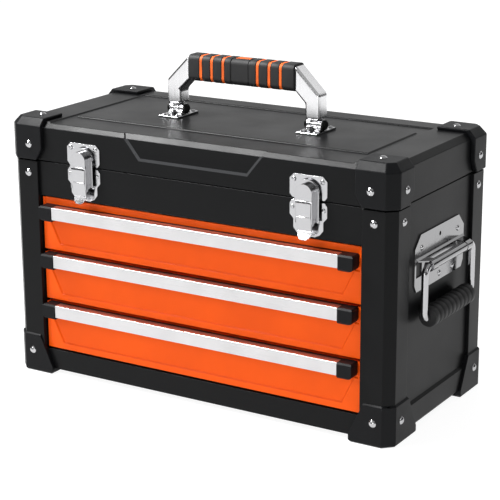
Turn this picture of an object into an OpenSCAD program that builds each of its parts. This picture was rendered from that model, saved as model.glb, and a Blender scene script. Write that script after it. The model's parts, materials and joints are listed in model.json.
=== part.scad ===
/* [Case] */
// Width over the corner posts
case_w = 506; // [480:1:600]
// Depth over the corner posts
case_d = 238; // [230:1:300]
// Height of the case's underside above the floor
rise = 6; // [4:0.5:12]
// Sheet thickness of the case and the lid
sheet = 1.2; // [0.8:0.1:1.6]
// Height of the sill under the lowest drawer
sill_h = 25; // [20:0.5:40]
// Height of the header above the top drawer
header_h = 41.5; // [41.5:0.5:80]
// Width of the folded lips at open sheet edges
lip_w = 10; // [6:0.5:14]
// Height of the pressed band along the foot of each end
band_h = 29.5; // [20:0.5:32]
// How far that band stands out
band_rise = 2.8; // [2:0.1:3.6]

/* [Corners] */
// Width of each leg of a corner post
post_leg = 38; // [32:0.5:44]
// How far the posts stand off the panels
post_rise = 4; // [3.8:0.1:6]
// Corner chamfer of the posts
post_chamfer = 10.5; // [6:0.5:14]
// Thickness of the posts' sheet
post_t = 1.5; // [1:0.1:2]
// How far caps and feet stand off the posts
cap_rise = 2; // [1.5:0.1:2.6]
// Length of a lid cap along the front
cap_front = 48; // [40:0.5:56]
// Length of a lid cap along the end
cap_end = 44; // [38:0.5:52]
// Width of the bevel along the top of a lid cap
cap_bevel = 8; // [4:0.5:9]
// Thickness of the lid caps on top of the lid
cap_top_t = 4; // [3:0.5:6]
// Height of the corner feet
foot_h = 48.5; // [42:0.5:60]
// Length of a foot along the front at the floor
foot_front = 52.5; // [50:0.5:60]
// Length of a foot along the end at the floor
foot_end = 62; // [54:0.5:66]
// How much shorter a foot is at its top, along the front
foot_slant_front = 18; // [8:0.5:20]
// How much shorter a foot is at its top, along the end
foot_slant_end = 20; // [8:0.5:24]
// Rivet head diameter at the corners
rivet_d = 9; // [6:0.5:10]

/* [Lid] */
// Height of the lid pressing
lid_h = 46; // [44:0.5:60]
// Gap between the lid and the case
lid_gap = 1; // [0.6:0.1:2]
// Distance of each rear hinge from the case's end
hinge_end = 103; // [90:0.5:150]
// Width of the chamfer round the lid's top
lid_chamfer = 6.5; // [4:0.5:9]
// Depth of the pressed fields
press_d = 1.5; // [1:0.1:2]
// Width of the sloping wall round the pressed front field
press_run = 3; // [1:0.1:4]
// Half width of the pressed front field at its foot
field_half = 70; // [50:1:90]
// Distance of the top border from the lid's ends
border_end = 48; // [46:1:56]
// Width of the border along the lid's rear edge
border_rear = 32; // [24:1:40]
// Half width of the raised top panel
panel_half = 193; // [170:1:195]
// Distance of that panel from the case front
panel_front = 50; // [40:0.5:56]
// Distance of that panel from the case back
panel_rear = 63.5; // [52:0.5:72]

/* [Drawers] */
// Height of the two lower drawer fronts
front_h = 58; // [50:0.5:70]
// Height of the top drawer front
top_front_h = 63.5; // [56:0.5:80]
// Gap between two drawer fronts
drawer_gap = 4; // [3:0.5:6]
// Gap between a drawer front and the frame
edge_gap = 2; // [1.5:0.1:2.5]
// How far the fronts sit behind the frame's face
front_inset = 2; // [1:0.5:4]
// Depth of the folded drawer fronts
pan_d = 12; // [9:0.5:14]
// Length of the runners
rail_l = 200; // [170:1:210]
// Space between a tray and its runner wall
slide_w = 12.7; // [12:0.1:14]
// How far a drawer opens
drawer_travel = 145; // [100:1:150]
// Thickness of the trays' sheet
tray_t = 1; // [0.8:0.1:1.5]

/* [Pulls] */
// How far a pull stands off its drawer front
pull_out = 14; // [12:0.5:16]
// Height of a pull's grip edge
pull_h = 15; // [12:0.5:18]
// Wall of the pull section
pull_t = 1.8; // [1.4:0.1:2.4]
// Length of a pull's end cap
pull_cap_l = 18; // [12:0.5:24]
// Drop of the top drawer's pull below its front's edge
pull_drop = 8; // [6:0.5:14]
// Width of the black strip behind a pull's top edge
strip_w = 4.4; // [2:0.2:6]
// Thickness of that strip
strip_t = 1; // [0.6:0.1:1.2]

/* [Latches] */
// Distance of each latch from the case's end
latch_end = 104; // [96:0.5:125]
// Width of the latch plates
latch_w = 46; // [42:0.5:54]
// Width of the lever
lever_w = 18.6; // [16:0.2:20]
// Height of the lever's face above the case front
lever_rise = 12.5; // [12.3:0.1:14]
// How far the thumb tab stands in front of the lever's face
tab_flare = 0.5; // [0.3:0.1:3]
// Thickness of the latch sheet
latch_t = 1.2; // [1:0.1:1.4]

/* [Carry handle] */
// Distance of each arm from the middle
arm_x = 93.3; // [80:0.1:110]
// Width of an arm
arm_w = 18.5; // [16:0.5:22]
// Depth of an arm
arm_d = 21; // [16:0.5:22]
// Height of the handle above the lid
handle_h = 75; // [70:0.5:95]
// Depth of the grip
grip_d = 24; // [22:0.5:28]
// Height of the grip
grip_h = 29.5; // [26:0.5:32]
// Half length of the grip
grip_half = 71; // [65:0.5:76]
// Height of the pivot above the lid
pivot_rise = 8.5; // [8.4:0.1:11]
// Diameter of the pivot bolts
pivot_d = 5; // [4:0.1:6]

/* [End handles] */
// Width of an end plate
plate_w = 125; // [116:1:140]
// Height of an end plate
plate_h = 63; // [60:1:80]
// Height of an end plate's top above the floor
plate_top = 224; // [215:1:235]
// Diameter of the bail wire
bail_d = 8; // [5:0.5:9]
// Drop of the grip below the bail's axis
bail_drop = 58; // [50:1:70]
// Gap between the hanging grip and the case end
bail_gap = 1.5; // [1:0.5:6]
// Outer diameter of the ribbed grip
bail_grip_d = 23; // [18:0.5:26]
// Number of ribs on the grip
bail_ribs = 10; // [6:1:14]

/* [Hidden] */
$fn = 48;

// colours
black = [0.15, 0.15, 0.16];
plastic = [0.1, 0.1, 0.11];
orange = [0.96, 0.35, 0.06];
aluminium = [0.83, 0.83, 0.83];
chrome = [0.78, 0.79, 0.8];
zinc = [0.62, 0.63, 0.64];
rubber = [0.08, 0.08, 0.08];

// small shared clearances
slack = 0.3;
shaft_slack = 0.06;

// reach of cutting shapes that run past the whole case
far = case_w;

// main planes, measured from the middle of the case
post_x = case_w / 2;
post_y = case_d / 2;
panel_x = post_x - post_rise;
panel_y = post_y - post_rise;
cap_x = post_x + cap_rise;
cap_y = post_y + cap_rise;
outer_chamfer = post_chamfer + cap_rise * (2 - sqrt(2));
open_x = post_x - post_leg;
// the panels' corners are folded to lie just inside the posts
case_corner = max(1, post_chamfer - 2 * post_rise + (post_t + slack) * sqrt(2));
seam_x = panel_x - case_corner - sheet;
sill_z = rise + sill_h;
low_front_z = sill_z + edge_gap;
mid_front_z = low_front_z + front_h + drawer_gap;
top_front_z = mid_front_z + front_h + drawer_gap;
header_z = top_front_z + top_front_h + edge_gap;
body_top = header_z + header_h;
lid_z = body_top + lid_gap;
lid_top = lid_z + lid_h;
cap_top = lid_top + cap_top_t;
floor_z = header_z + sheet;

// drawers, counted from the top
front_half = open_x - 2.2;
front_y = panel_y - front_inset;
field_y = front_y - press_d;
wall_x = open_x + sheet;
rail_x = wall_x;
tray_x = rail_x - slide_w;
tray_front = front_y - pan_d;
rail_front = tray_front - 1;
rail_t = 1.2;
rail_reach = 8;
outer_rail_h = 13;
inner_rail_h = 7;
rail_up = 27;
ball_z = (outer_rail_h - rail_t + inner_rail_h) / 2;
ball_r = (outer_rail_h - rail_t - inner_rail_h) / 2 - 0.1;
ball_x = (rail_x + tray_x) / 2;
balls = 4;
ball_pitch = 12;
cage_t = 0.8;
cage_front = -rail_front + drawer_travel / 2 + 2;
field_run = 1.6;
field_lean = 0.48;
field_foot = 7;
field_in = 22.5;
cap_drop = 3;
wall_lip = 14;
pull_half = front_half - 3.8;
pull_y = field_y + pull_out + press_d - 0.2;

// latches; heights above the case front are called w
latch_x = post_x - latch_end;
latch_out = panel_y;
lever_pivot_z = body_top - 5.5;
lever_pivot_w = lever_rise - 4;
lever_top = body_top - 0.8;
lever_dip = 3.2;
hook_pivot_z = lever_pivot_z - 14;
hook_pivot_w = lever_rise - 4.5;
pin_r = 1.5;
hook_arc_z = lid_z + 8.3;
hook_half = lever_w / 2 + slack + 1;
hook_outer = hook_half + 4.1;
hook_back = 4.3;
front_reach = panel_y + lever_rise + tab_flare;

// hinges
hinge_r = 4;
hinge_pin_r = 2;
hinge_y = cap_y + 1;
hinge_z = body_top + lid_gap / 2;
hinge_x = post_x - hinge_end;
hinge_l = 60;
hinge_t = 1.5;
hinge_leaf = 24;
rear_reach = hinge_y + hinge_r;

// the frame's origin is the middle of the whole outline on the floor
case_y = (front_reach - rear_reach) / 2;

// carry handle
pivot_z = lid_top + pivot_rise;
pivot_r = pivot_d / 2;
knuckle_r = 6.2;
tongue_w = 6;
arm_foot = pivot_z + knuckle_r + 0.6;
handle_top = lid_top + handle_h;
grip_low = handle_top - grip_h;
grip_mid = handle_top - grip_h / 2;
shoulder = arm_x + arm_w / 2 - grip_half;
core_d = 16;
ring_w = 3.2;
ring_places = [23.1, 38.5, 53.5];
bracket_w = 27;
bracket_l = 45;
bracket_t = 2.4;
inlay_half = 9.7;
inlay_d = 1.5;

// end handles
bail_r = bail_d / 2;
bail_x = panel_x + bail_gap + bail_grip_d / 2;
bail_z = plate_top - 33;
bail_half = plate_w / 2 - 1.5;
bail_bend = 9;
barrel_r = bail_r + 1.5;
plate_t = 1.5;
strap_out = plate_w / 2 - 2.5;
strap_in = strap_out - 20;
collar_in = strap_in - 2;
collar_out = bail_half - bail_bend - 1;
collar_r = barrel_r + 0.6;
bail_grip_half = bail_half - bail_r - 0.5;
plate_corner = 14;
plate_rivet_y = plate_w / 2 - 16.5;
plate_foot_y = strap_in - 7;
plate_low = plate_top - plate_h;

function front_z(n) = [top_front_z, mid_front_z, low_front_z][n - 1];
function front_height(n) = n == 1 ? top_front_h : front_h;
function pull_top(n) = front_z(n) + front_height(n) + (n == 1 ? -pull_drop : 0.5);
function rail_z(n) = front_z(n) + rail_up;

module at_case() translate([0, case_y, 0]) children();

module block(low, high) translate(low) cube(high - low);

module on_side(s) {
    if (s < 0) mirror([1, 0, 0]) children();
    else children();
}

module on_face(s) {
    if (s < 0) mirror([0, 1, 0]) children();
    else children();
}

module corner(sx, sy) at_case() on_side(sx) on_face(sy) children();

// plan of the case panels with folded corners, drawn in by g
module case_outline(g) {
    x = panel_x - g;
    y = panel_y - g;
    c = case_corner - g * (2 - sqrt(2));
    polygon([[-x, c - y], [c - x, -y], [x - c, -y], [x, c - y], [x, y - c], [x - c, y],
        [c - x, y], [-x, y - c]]);
}

// an outline in Y and Z, run along X
module along_x(x0, x1) translate([x0, 0, 0]) rotate([90, 0, 90]) linear_extrude(x1 - x0) children();

// an outline in X and Z, run along Y
module along_y(y0, y1) translate([0, y1, 0]) rotate([90, 0, 0]) linear_extrude(y1 - y0) children();

module along_z(z0, z1) translate([0, 0, z0]) linear_extrude(z1 - z0) children();

module rod_x(x0, x1, y, z, r) translate([x0, y, z]) rotate([0, 90, 0]) cylinder(h = x1 - x0, r = r);

module rod_y(y0, y1, x, z, r) translate([x, y0, z]) rotate([-90, 0, 0]) cylinder(h = y1 - y0, r = r);

// A field pressed into the plane z = 0: its outline runs anticlockwise, and its walls slope in
// by run over the depth. g draws the sheet's inner face; over carries it below the floor.
module press(points, depth, run, g = 0, over = 0) {
    shift = g * sqrt(depth * depth + run * run) / depth;
    low = depth + g + over;
    intersection_for(i = [0:len(points) - 1]) {
        p = points[i];
        q = points[(i + 1) % len(points)];
        translate([p[0], p[1], 0]) rotate([0, 0, atan2(q[1] - p[1], q[0] - p[0])])
            along_x(-far, far) polygon([[-run / depth - shift, 1], [far, 1], [far, -low],
                [run * low / depth - shift, -low]]);
    }
}

// the same, pressed into the front at a distance from the middle
module press_front(y, points, depth, run, g)
    translate([0, -y, 0]) rotate([90, 0, 0]) press(points, depth, run, g);

// domed rivet head on the plane z = 0, pointing up
module dome(d, h) {
    r = (d * d / 4 + h * h) / (2 * h);
    intersection() {
        translate([0, 0, h - r]) sphere(r = r, $fn = 64);
        cylinder(h = h, d = d);
    }
}

module dome_face(x, y, z, d = rivet_d, h = 2.2) translate([x, y, z]) rotate([-90, 0, 0]) dome(d, h);

module dome_end(x, y, z, d = rivet_d, h = 2.2) translate([x, y, z]) rotate([0, 90, 0]) dome(d, h);

// ---- corner posts, feet and lid caps, drawn for the rear right corner

// outline of a corner block with its outer edge chamfered
module corner_outline(x, y, c, length_x, length_y)
    polygon([[x - length_x, y - length_y], [x, y - length_y], [x, y - c], [x - c, y],
        [x - length_x, y]]);

module post_section() {
    bend = post_t * tan(22.5);
    polygon([[post_x - post_leg, post_y], [post_x - post_chamfer, post_y],
        [post_x, post_y - post_chamfer], [post_x, post_y - post_leg],
        [panel_x, post_y - post_leg], [panel_x, post_y - post_leg + post_t],
        [post_x - post_t, post_y - post_leg + post_t],
        [post_x - post_t, post_y - post_chamfer - bend],
        [post_x - post_chamfer - bend, post_y - post_t],
        [post_x - post_leg + post_t, post_y - post_t],
        [post_x - post_leg + post_t, panel_y], [post_x - post_leg, panel_y]]);
}

module corner_post(sx, sy) corner(sx, sy) color(black) along_z(rise, body_top) post_section();

// side view of a block whose outer face is at edge, bevelled at its top and foot
module rim(edge, z0, z1, bevel, bevel_h, low)
    polygon([[edge - far, z0], [edge - low, z0], [edge, z0 + low], [edge, z1 - bevel_h],
        [edge - bevel, z1], [edge - far, z1]]);

module beveled_corner(z0, z1, length_x, length_y, bevel, bevel_h, low = 0) intersection() {
    along_z(z0, z1) corner_outline(cap_x, cap_y, outer_chamfer, length_x, length_y);
    along_y(cap_y - length_y - 1, cap_y + 1) rim(cap_x, z0, z1, bevel, bevel_h, low);
    along_x(cap_x - length_x - 1, cap_x + 1) rim(cap_y, z0, z1, bevel, bevel_h, low);
    translate([cap_x, cap_y, 0]) rotate([0, 0, 45])
        along_y(-far, far) rim(-outer_chamfer / sqrt(2), z0, z1, bevel, bevel_h, low);
}

// side view of one leg of a foot; distances run inwards from the outer face
function foot_profile(length, slant) = [[0, 0], [length - 3, 0], [length, 3], [length, 9],
    [length - slant, foot_h], [0, foot_h]];

module band_profile(g) {
    z0 = rise + 1 + g;
    z1 = rise + 1 + band_h - g;
    polygon([[panel_x - sheet, z0], [panel_x, z0], [panel_x + band_rise - g, z0 + band_rise],
        [panel_x + band_rise - g, z1 - band_rise], [panel_x, z1], [panel_x - sheet, z1]]);
}

module corner_foot(sx, sy) corner(sx, sy) color(plastic)
difference() {
    intersection() {
        beveled_corner(0, foot_h, foot_front, foot_end, 2, 2, 2);
        union() {
            along_y(panel_y, cap_y)
                polygon([for (p = foot_profile(foot_front, foot_slant_front)) [cap_x - p[0], p[1]]]);
            along_x(panel_x, cap_x)
                polygon([for (p = foot_profile(foot_end, foot_slant_end)) [cap_y - p[0], p[1]]]);
            along_z(0, rise) polygon([[cap_x, cap_y], [cap_x - foot_front + 3, cap_y],
                [cap_x - foot_front + 3, panel_y - 12], [panel_x - 12, cap_y - foot_end + 3],
                [cap_x, cap_y - foot_end + 3]]);
        }
    }
    along_z(rise, foot_h + 1) polygon([[panel_x - 20, panel_y - 20],
        [post_x - post_leg, panel_y - 20], [post_x - post_leg, post_y],
        [post_x - post_chamfer, post_y], [post_x, post_y - post_chamfer],
        [post_x, post_y - post_leg], [panel_x - 20, post_y - post_leg]]);
    along_y(0, post_y - post_leg) band_profile(0);
}

module lid_cap(sx, sy) {
    z0 = lid_z + 0.6;
    inner_x = cap_x - cap_front;
    inner_y = cap_y - cap_end;
    corner(sx, sy) color(plastic)
    difference() {
        beveled_corner(z0, cap_top, cap_front, cap_end, cap_bevel, cap_bevel * 1.15);
        lid_form(0, 1);
        along_y(panel_y - 1, cap_y + 1)
            polygon([[inner_x - 1, z0 - 1], [inner_x + 8, z0 - 1], [inner_x + 8, z0],
                [inner_x, z0 + 14], [inner_x - 1, z0 + 14]]);
        along_x(panel_x - 1, cap_x + 1)
            polygon([[inner_y - 1, z0 - 1], [inner_y + 8, z0 - 1], [inner_y + 8, z0],
                [inner_y, z0 + 14], [inner_y - 1, z0 + 14]]);
    }
}

// ---- sheet-metal case

module wrapper() at_case() color(black) {
    along_z(rise, rise + sheet) case_outline(0);
    along_z(rise, body_top) difference() {
        case_outline(0);
        case_outline(sheet);
        square([2 * seam_x, 2 * case_d], center = true);
    }
    for (s = [-1, 1]) on_side(s) {
        block([panel_x - lip_w, -(panel_y - case_corner - lip_w), body_top - sheet],
            [panel_x - sheet / 2, panel_y - case_corner - lip_w, body_top]);
        difference() {
            along_y(-(post_y - post_leg), post_y - post_leg) band_profile(0);
            along_y(-(post_y - post_leg - sheet), post_y - post_leg - sheet) band_profile(sheet);
        }
    }
}

module back_panel() at_case() color(black) {
    block([-seam_x, panel_y - sheet, rise + sheet], [seam_x, panel_y, body_top]);
    block([-seam_x, panel_y - sheet - lip_w, body_top - sheet], [seam_x, panel_y - sheet, body_top]);
}

module front_frame() at_case() color(black)
difference() {
    union() {
        block([-seam_x, -panel_y, rise + sheet], [seam_x, -(panel_y - sheet), body_top]);
        block([-seam_x, -panel_y, body_top - sheet], [seam_x, -(panel_y - sheet - lip_w), body_top]);
        block([-(open_x + sheet), -panel_y, sill_z - sheet],
            [open_x + sheet, -(panel_y - lip_w), header_z + sheet]);
    }
    block([-open_x, -(panel_y + 1), sill_z], [open_x, -(panel_y - lip_w - 1), header_z]);
}

module tray_floor() at_case() color(black) along_z(floor_z, floor_z + sheet) case_outline(sheet);

module inner_wall(s) at_case() on_side(s) color(zinc)
    along_z(rise + sheet, floor_z)
        polygon([[wall_x, -(panel_y - sheet)], [wall_x + wall_lip, -(panel_y - sheet)],
            [wall_x + wall_lip, -(panel_y - 2 * sheet)], [wall_x + sheet, -(panel_y - 2 * sheet)],
            [wall_x + sheet, panel_y - 2 * sheet], [wall_x + wall_lip, panel_y - 2 * sheet],
            [wall_x + wall_lip, panel_y - sheet], [wall_x, panel_y - sheet]]);

// ---- ball-bearing runners

// channel profile of a runner rail, open towards the other rail
module rail_profile(x, reach, half, way) {
    polygon([[x, -half], [x - way * reach, -half], [x - way * reach, rail_t - half],
        [x - way * rail_t, rail_t - half], [x - way * rail_t, half - rail_t],
        [x - way * reach, half - rail_t], [x - way * reach, half], [x, half]]);
}

module slide_rails(s) at_case() on_side(s) color(zinc)
    for (n = [1:3]) translate([0, 0, rail_z(n)])
        along_y(-rail_front, rail_l - rail_front) rail_profile(rail_x, rail_reach, outer_rail_h, 1);

module cage_profile() {
    x0 = ball_x - ball_r - 0.7;
    x1 = rail_x - rail_t - 1.3;
    z = ball_z + cage_t / 2;
    polygon([[x0, -z], [x1, -z], [x1, z], [x0, z], [x0, z - cage_t], [x1 - cage_t, z - cage_t],
        [x1 - cage_t, cage_t - z], [x0, cage_t - z]]);
}

module ball_cages(n) at_case() color(zinc)
    for (s = [-1, 1]) on_side(s) translate([0, 0, rail_z(n)]) {
        cage_l = balls * ball_pitch - 2;
        difference() {
            along_y(cage_front, cage_front + cage_l) cage_profile();
            for (i = [0:balls - 1], up = [-1, 1])
                translate([ball_x, cage_front + 5 + i * ball_pitch, up * ball_z - 2])
                    cylinder(h = 4, r = ball_r + 0.1);
        }
        for (i = [0:balls - 1], up = [-1, 1])
            translate([ball_x, cage_front + 5 + i * ball_pitch, up * ball_z]) sphere(r = ball_r);
    }

// ---- drawers

// drawer front as a solid, drawn in by g on every face
module front_form(n, g) {
    z0 = front_z(n);
    z1 = z0 + front_height(n);
    foot = z0 + field_foot;
    seat_z = pull_top(n) - pull_h - cap_drop - field_run;
    seat = pull_half + field_run + slack;
    head = seat_z + 6;
    wide = front_half - field_in;
    brow = wide + field_lean * (head - foot);
    difference() {
        block([g - front_half, g - front_y, z0 + g], [front_half - g, pan_d - front_y - g, z1 - g]);
        press_front(front_y, [[-seat, seat_z], [seat, seat_z], [seat, z1 + 20], [-seat, z1 + 20]],
            press_d, field_run, g);
        press_front(front_y, [[-wide, foot], [wide, foot], [brow, head], [-brow, head]],
            press_d, field_run, g);
    }
}

// folded pan whose rear lips lie against the tray
module drawer_front(n) at_case() color(orange)
difference() {
    front_form(n, 0);
    front_form(n, sheet);
    block([lip_w + 4 - front_half, -front_y + pan_d - sheet - 1, front_z(n) + lip_w],
        [front_half - lip_w - 4, -tray_front + 1, front_z(n) + front_height(n) - lip_w - 4]);
}

module drawer_tray(n) {
    z0 = front_z(n) + 4;
    z1 = z0 + front_height(n) - 14;
    back = rail_l - rail_front;
    at_case() color(zinc) {
        difference() {
            block([-tray_x, -tray_front, z0], [tray_x, back, z1]);
            block([tray_t - tray_x, tray_t - tray_front, z0 + tray_t],
                [tray_x - tray_t, back - tray_t, z1 + 1]);
        }
        for (s = [-1, 1]) on_side(s) translate([0, 0, rail_z(n)])
            along_y(-rail_front, back - 2) rail_profile(tray_x, rail_reach, inner_rail_h, -1);
    }
}

module drawer_pull(n) {
    z1 = pull_top(n);
    at_case() color(aluminium)
    along_x(pull_cap_l - pull_half, pull_half - pull_cap_l)
        polygon([[-field_y, z1 - strip_t], [-(field_y + strip_w), z1 - strip_t],
            [-(field_y + strip_w), z1], [-pull_y, z1], [-pull_y, z1 - pull_h],
            [pull_t - pull_y, z1 - pull_h], [pull_t - pull_y, z1 - pull_t],
            [-(field_y + pull_t), z1 - pull_t], [-(field_y + pull_t), z1 - 10], [-field_y, z1 - 10]]);
}

// end caps, joined by the strip behind the pull's top edge
module pull_caps(n) {
    z1 = pull_top(n) + 0.3;
    z0 = z1 - pull_h - cap_drop;
    strip_half = pull_half - pull_cap_l + 1;
    at_case() color(plastic) {
        block([-strip_half, -(field_y + strip_w), pull_top(n) - strip_t],
            [strip_half, -field_y, pull_top(n)]);
        for (s = [-1, 1]) on_side(s) intersection() {
            along_x(pull_half - pull_cap_l, pull_half)
                polygon([[-field_y, z1], [-(pull_y - 1), z1], [-(pull_y + 0.8), z1 - 2],
                    [-(pull_y + 0.8), z0 + 2], [-(pull_y - 1.2), z0], [-field_y, z0]]);
            along_y(-(pull_y + 2), -field_y)
                polygon([[0, z1], [pull_half - 1.5, z1], [pull_half, z1 - 1.5],
                    [pull_half, z0 + 5], [pull_half - 1.5, z0 + 1.5], [pull_half - 5, z0], [0, z0]]);
        }
    }
}

// ---- latches, drawn in their own X with the case front as the plane w = 0

module at_latch(s) at_case() translate([s * latch_x, 0, 0]) children();

// an outline in X and Z between two heights above the case front
module raised(w0, w1) along_y(-(latch_out + w1), -(latch_out + w0)) children();

// a profile of [w, z] points across the latch, between two distances from its middle
module latch_side(u0, u1, points)
    along_x(u0, u1) polygon([for (p = points) [-(latch_out + p[0]), p[1]]]);

// plate with a half-round head of radius r, standing on the height z0
module arch(r, z0) {
    translate([0, hook_arc_z]) circle(r = r, $fn = 64);
    translate([-r, z0]) square([2 * r, hook_arc_z - z0]);
}

module strike(s) {
    z0 = lid_z + 0.6;
    z1 = lid_z + 26.8;
    half = latch_w / 2;
    at_latch(s) color(chrome) {
        raised(0, latch_t) polygon([[-half, z0 + 4], [3 - half, z0], [half - 3, z0], [half, z0 + 4],
            [half, z1 - 5], [half - 5, z1], [5 - half, z1], [-half, z1 - 5]]);
        raised(latch_t, hook_back - 0.6) intersection() {
            difference() {
                circle_at(hook_half + 2.6);
                circle_at(hook_half + 0.2);
            }
            translate([-half, hook_arc_z]) square([latch_w, half]);
        }
    }
}

module circle_at(r) translate([0, hook_arc_z]) circle(r = r, $fn = 64);

module latch_base(s) {
    half = latch_w / 2;
    top = lever_top;
    ear_u = lever_w / 2 - latch_t - slack;
    r = 2.4;
    at_latch(s) color(chrome) {
        raised(0, latch_t) polygon([[3 - half, top], [half - 3, top], [half, top - 4],
            [half, top - 16.5], [half - 4.5, top - 21.5], [half - 4.5, top - 31],
            [half - 9, top - 36.5], [half - 15, top - 39], [15 - half, top - 39],
            [9 - half, top - 36.5], [4.5 - half, top - 31], [4.5 - half, top - 21.5],
            [-half, top - 16.5], [-half, top - 4]]);
        for (side = [-1, 1]) on_side(side) {
            latch_side(ear_u - latch_t, ear_u, [[latch_t, lever_pivot_z - 8.5],
                [lever_pivot_w, lever_pivot_z - r], [lever_pivot_w, lever_pivot_z + r],
                [latch_t, lever_pivot_z - 2]]);
            rod_x(ear_u - latch_t, ear_u, -(latch_out + lever_pivot_w), lever_pivot_z, r);
        }
        rod_x(-lever_w / 2, lever_w / 2, -(latch_out + lever_pivot_w), lever_pivot_z, pin_r);
    }
}

module latch_lever(s) {
    half = lever_w / 2;
    face = lever_rise;
    back = face - latch_t;
    low = face - lever_dip;
    tab = face + tab_flare;
    top = lever_top;
    at_latch(s) color(chrome) {
        intersection() {
            latch_side(-half, half, [[face, top], [face, top - 15.5], [low, top - 32],
                [low, top - 33.5], [tab, top - 40], [tab - 1, top - 40.8],
                [low - latch_t, top - 34], [low - latch_t, top - 32.2], [back, top - 15.7],
                [back, top]]);
            along_y(-(latch_out + tab + 1), -latch_out) {
                polygon([[-half, top + 1], [half, top + 1], [half, top - 24], [half - 0.9, top - 33],
                    [0.9 - half, top - 33], [-half, top - 24]]);
                translate([0, top - 32.4]) circle(r = half - 0.9, $fn = 64);
            }
        }
        for (side = [-1, 1]) on_side(side)
            difference() {
                latch_side(half - latch_t, half, [[face - 0.2, top], [5.5, top], [4, top - 6],
                    [3, top - 13], [3, top - 20], [7, top - 25.5], [face - 2.2, top - 26.5],
                    [face - 0.3, top - 15.6]]);
                rod_x(0, half + 1, -(latch_out + lever_pivot_w), lever_pivot_z, pin_r + shaft_slack);
            }
        rod_x(-(hook_half + 0.3), hook_half + 0.3, -(latch_out + hook_pivot_w), hook_pivot_z, pin_r);
    }
}

module latch_hook(s) {
    inner = hook_half - 1;
    low = hook_pivot_z - 3.6;
    head = lid_z - 0.4;
    at_latch(s) color(chrome)
    difference() {
        union() {
            raised(lever_rise - latch_t, lever_rise) intersection() {
                arch(hook_half, head);
                translate([-hook_half, head]) square([2 * hook_half, lid_h]);
            }
            raised(hook_back, lever_rise - 0.4) difference() {
                arch(hook_half, low);
                arch(inner, low - 1);
            }
            raised(hook_back, hook_back + latch_t) difference() {
                arch(hook_outer, low + 1.5);
                arch(inner, low - 1);
            }
        }
        rod_x(-(hook_half + 1), hook_half + 1, -(latch_out + hook_pivot_w), hook_pivot_z,
            pin_r + shaft_slack);
    }
}

// ---- lid

module lid_profile(half, g, z0) {
    corner_g = g * (2 - sqrt(2));
    c = lid_chamfer - corner_g;
    polygon([[g - half, z0], [half - g, z0], [half - g, lid_top - g - c],
        [half - g - c, lid_top - g], [g - half + c, lid_top - g], [g - half, lid_top - g - c]]);
}

// the lid as a solid, drawn in by g; plain = 1 leaves out the pressed fields
module lid_form(g, plain = 0) {
    z0 = g > 0 ? lid_z - 1 : lid_z;
    difference() {
        intersection() {
            along_y(-panel_y, panel_y) lid_profile(panel_x, g, z0);
            along_x(-panel_x, panel_x) lid_profile(panel_y, g, z0);
            along_z(z0, lid_top) case_outline(g);
        }
        if (plain == 0) {
            lid_top_field(g);
            lid_front_field(g);
        }
    }
}

// shallow field pressed into the top, with a raised panel in its middle
module lid_top_field(g) translate([0, 0, lid_top]) {
    half = cap_x - border_end - 6;
    rear = panel_y - border_rear;
    front = panel_front - panel_y;
    back = panel_y - panel_rear;
    difference() {
        press([[-half, -2 * panel_y], [half, -2 * panel_y], [half, rear], [-half, rear]],
            press_d, press_d, g);
        press([[-panel_half, front], [panel_half, front], [panel_half, back], [-panel_half, back]],
            press_d, -press_d, -g, 2 * g + 1);
    }
}

// trapezoid pressed into the front, running out over the chamfer
module lid_front_field(g) {
    z0 = lid_z + 15.2;
    lean = 20 / (lid_top - lid_chamfer - z0);
    wide = field_half + 2;
    depth = press_d + g;
    c = lid_chamfer - depth * (2 - sqrt(2));
    fold = lid_top - depth - c;
    brow = wide + lean * (fold - z0) - press_run / 2 + g;
    head = lid_top + 20;
    edge = lid_chamfer + 6 - panel_y;
    press_front(panel_y, [[-wide, z0], [wide, z0], [wide + lean * (head - z0), head],
        [-(wide + lean * (head - z0)), head]], press_d, press_run, g);
    difference() {
        along_y(-(panel_y + 1), edge - 1)
            polygon([[-brow, fold], [brow, fold], [brow + 6, lid_top + 1], [-(brow + 6), lid_top + 1]]);
        along_x(-panel_x, panel_x)
            polygon([[edge, fold - 2], [depth - panel_y - 2, fold - 2], [depth - panel_y, fold],
                [depth - panel_y + c, lid_top - depth], [edge, lid_top - depth]]);
    }
}

module lid_shell() at_case() color(black)
difference() {
    lid_form(0);
    lid_form(sheet);
}

// ---- rivets

module cabinet_rivets() at_case() color(chrome)
    for (sx = [-1, 1]) {
        for (sy = [-1, 1]) on_side(sx) on_face(sy) {
            x = post_x - (post_leg + post_chamfer) / 2;
            y = post_y - (post_leg + post_chamfer) / 2;
            dome_face(x, post_y, body_top - 15);
            dome_end(post_x, y, body_top - 15);
            dome_face(cap_x - 23, cap_y, 27);
            dome_end(cap_x, cap_y - 25.3, 27);
        }
        on_side(sx) {
            for (y = [-plate_rivet_y, plate_rivet_y])
                dome_end(panel_x + plate_t, y, plate_top - 15, 7, 1.8);
            for (y = [-plate_foot_y, 0, plate_foot_y])
                dome_end(panel_x + plate_t, y, plate_low + 7.5, 7, 1.8);
        }
        translate([sx * latch_x, 0, 0]) mirror([0, 1, 0])
            for (u = [-1, 1]) dome_face(u * (latch_w / 2 - 3.8), panel_y + latch_t, body_top - 9, 5, 1.6);
    }

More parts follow.
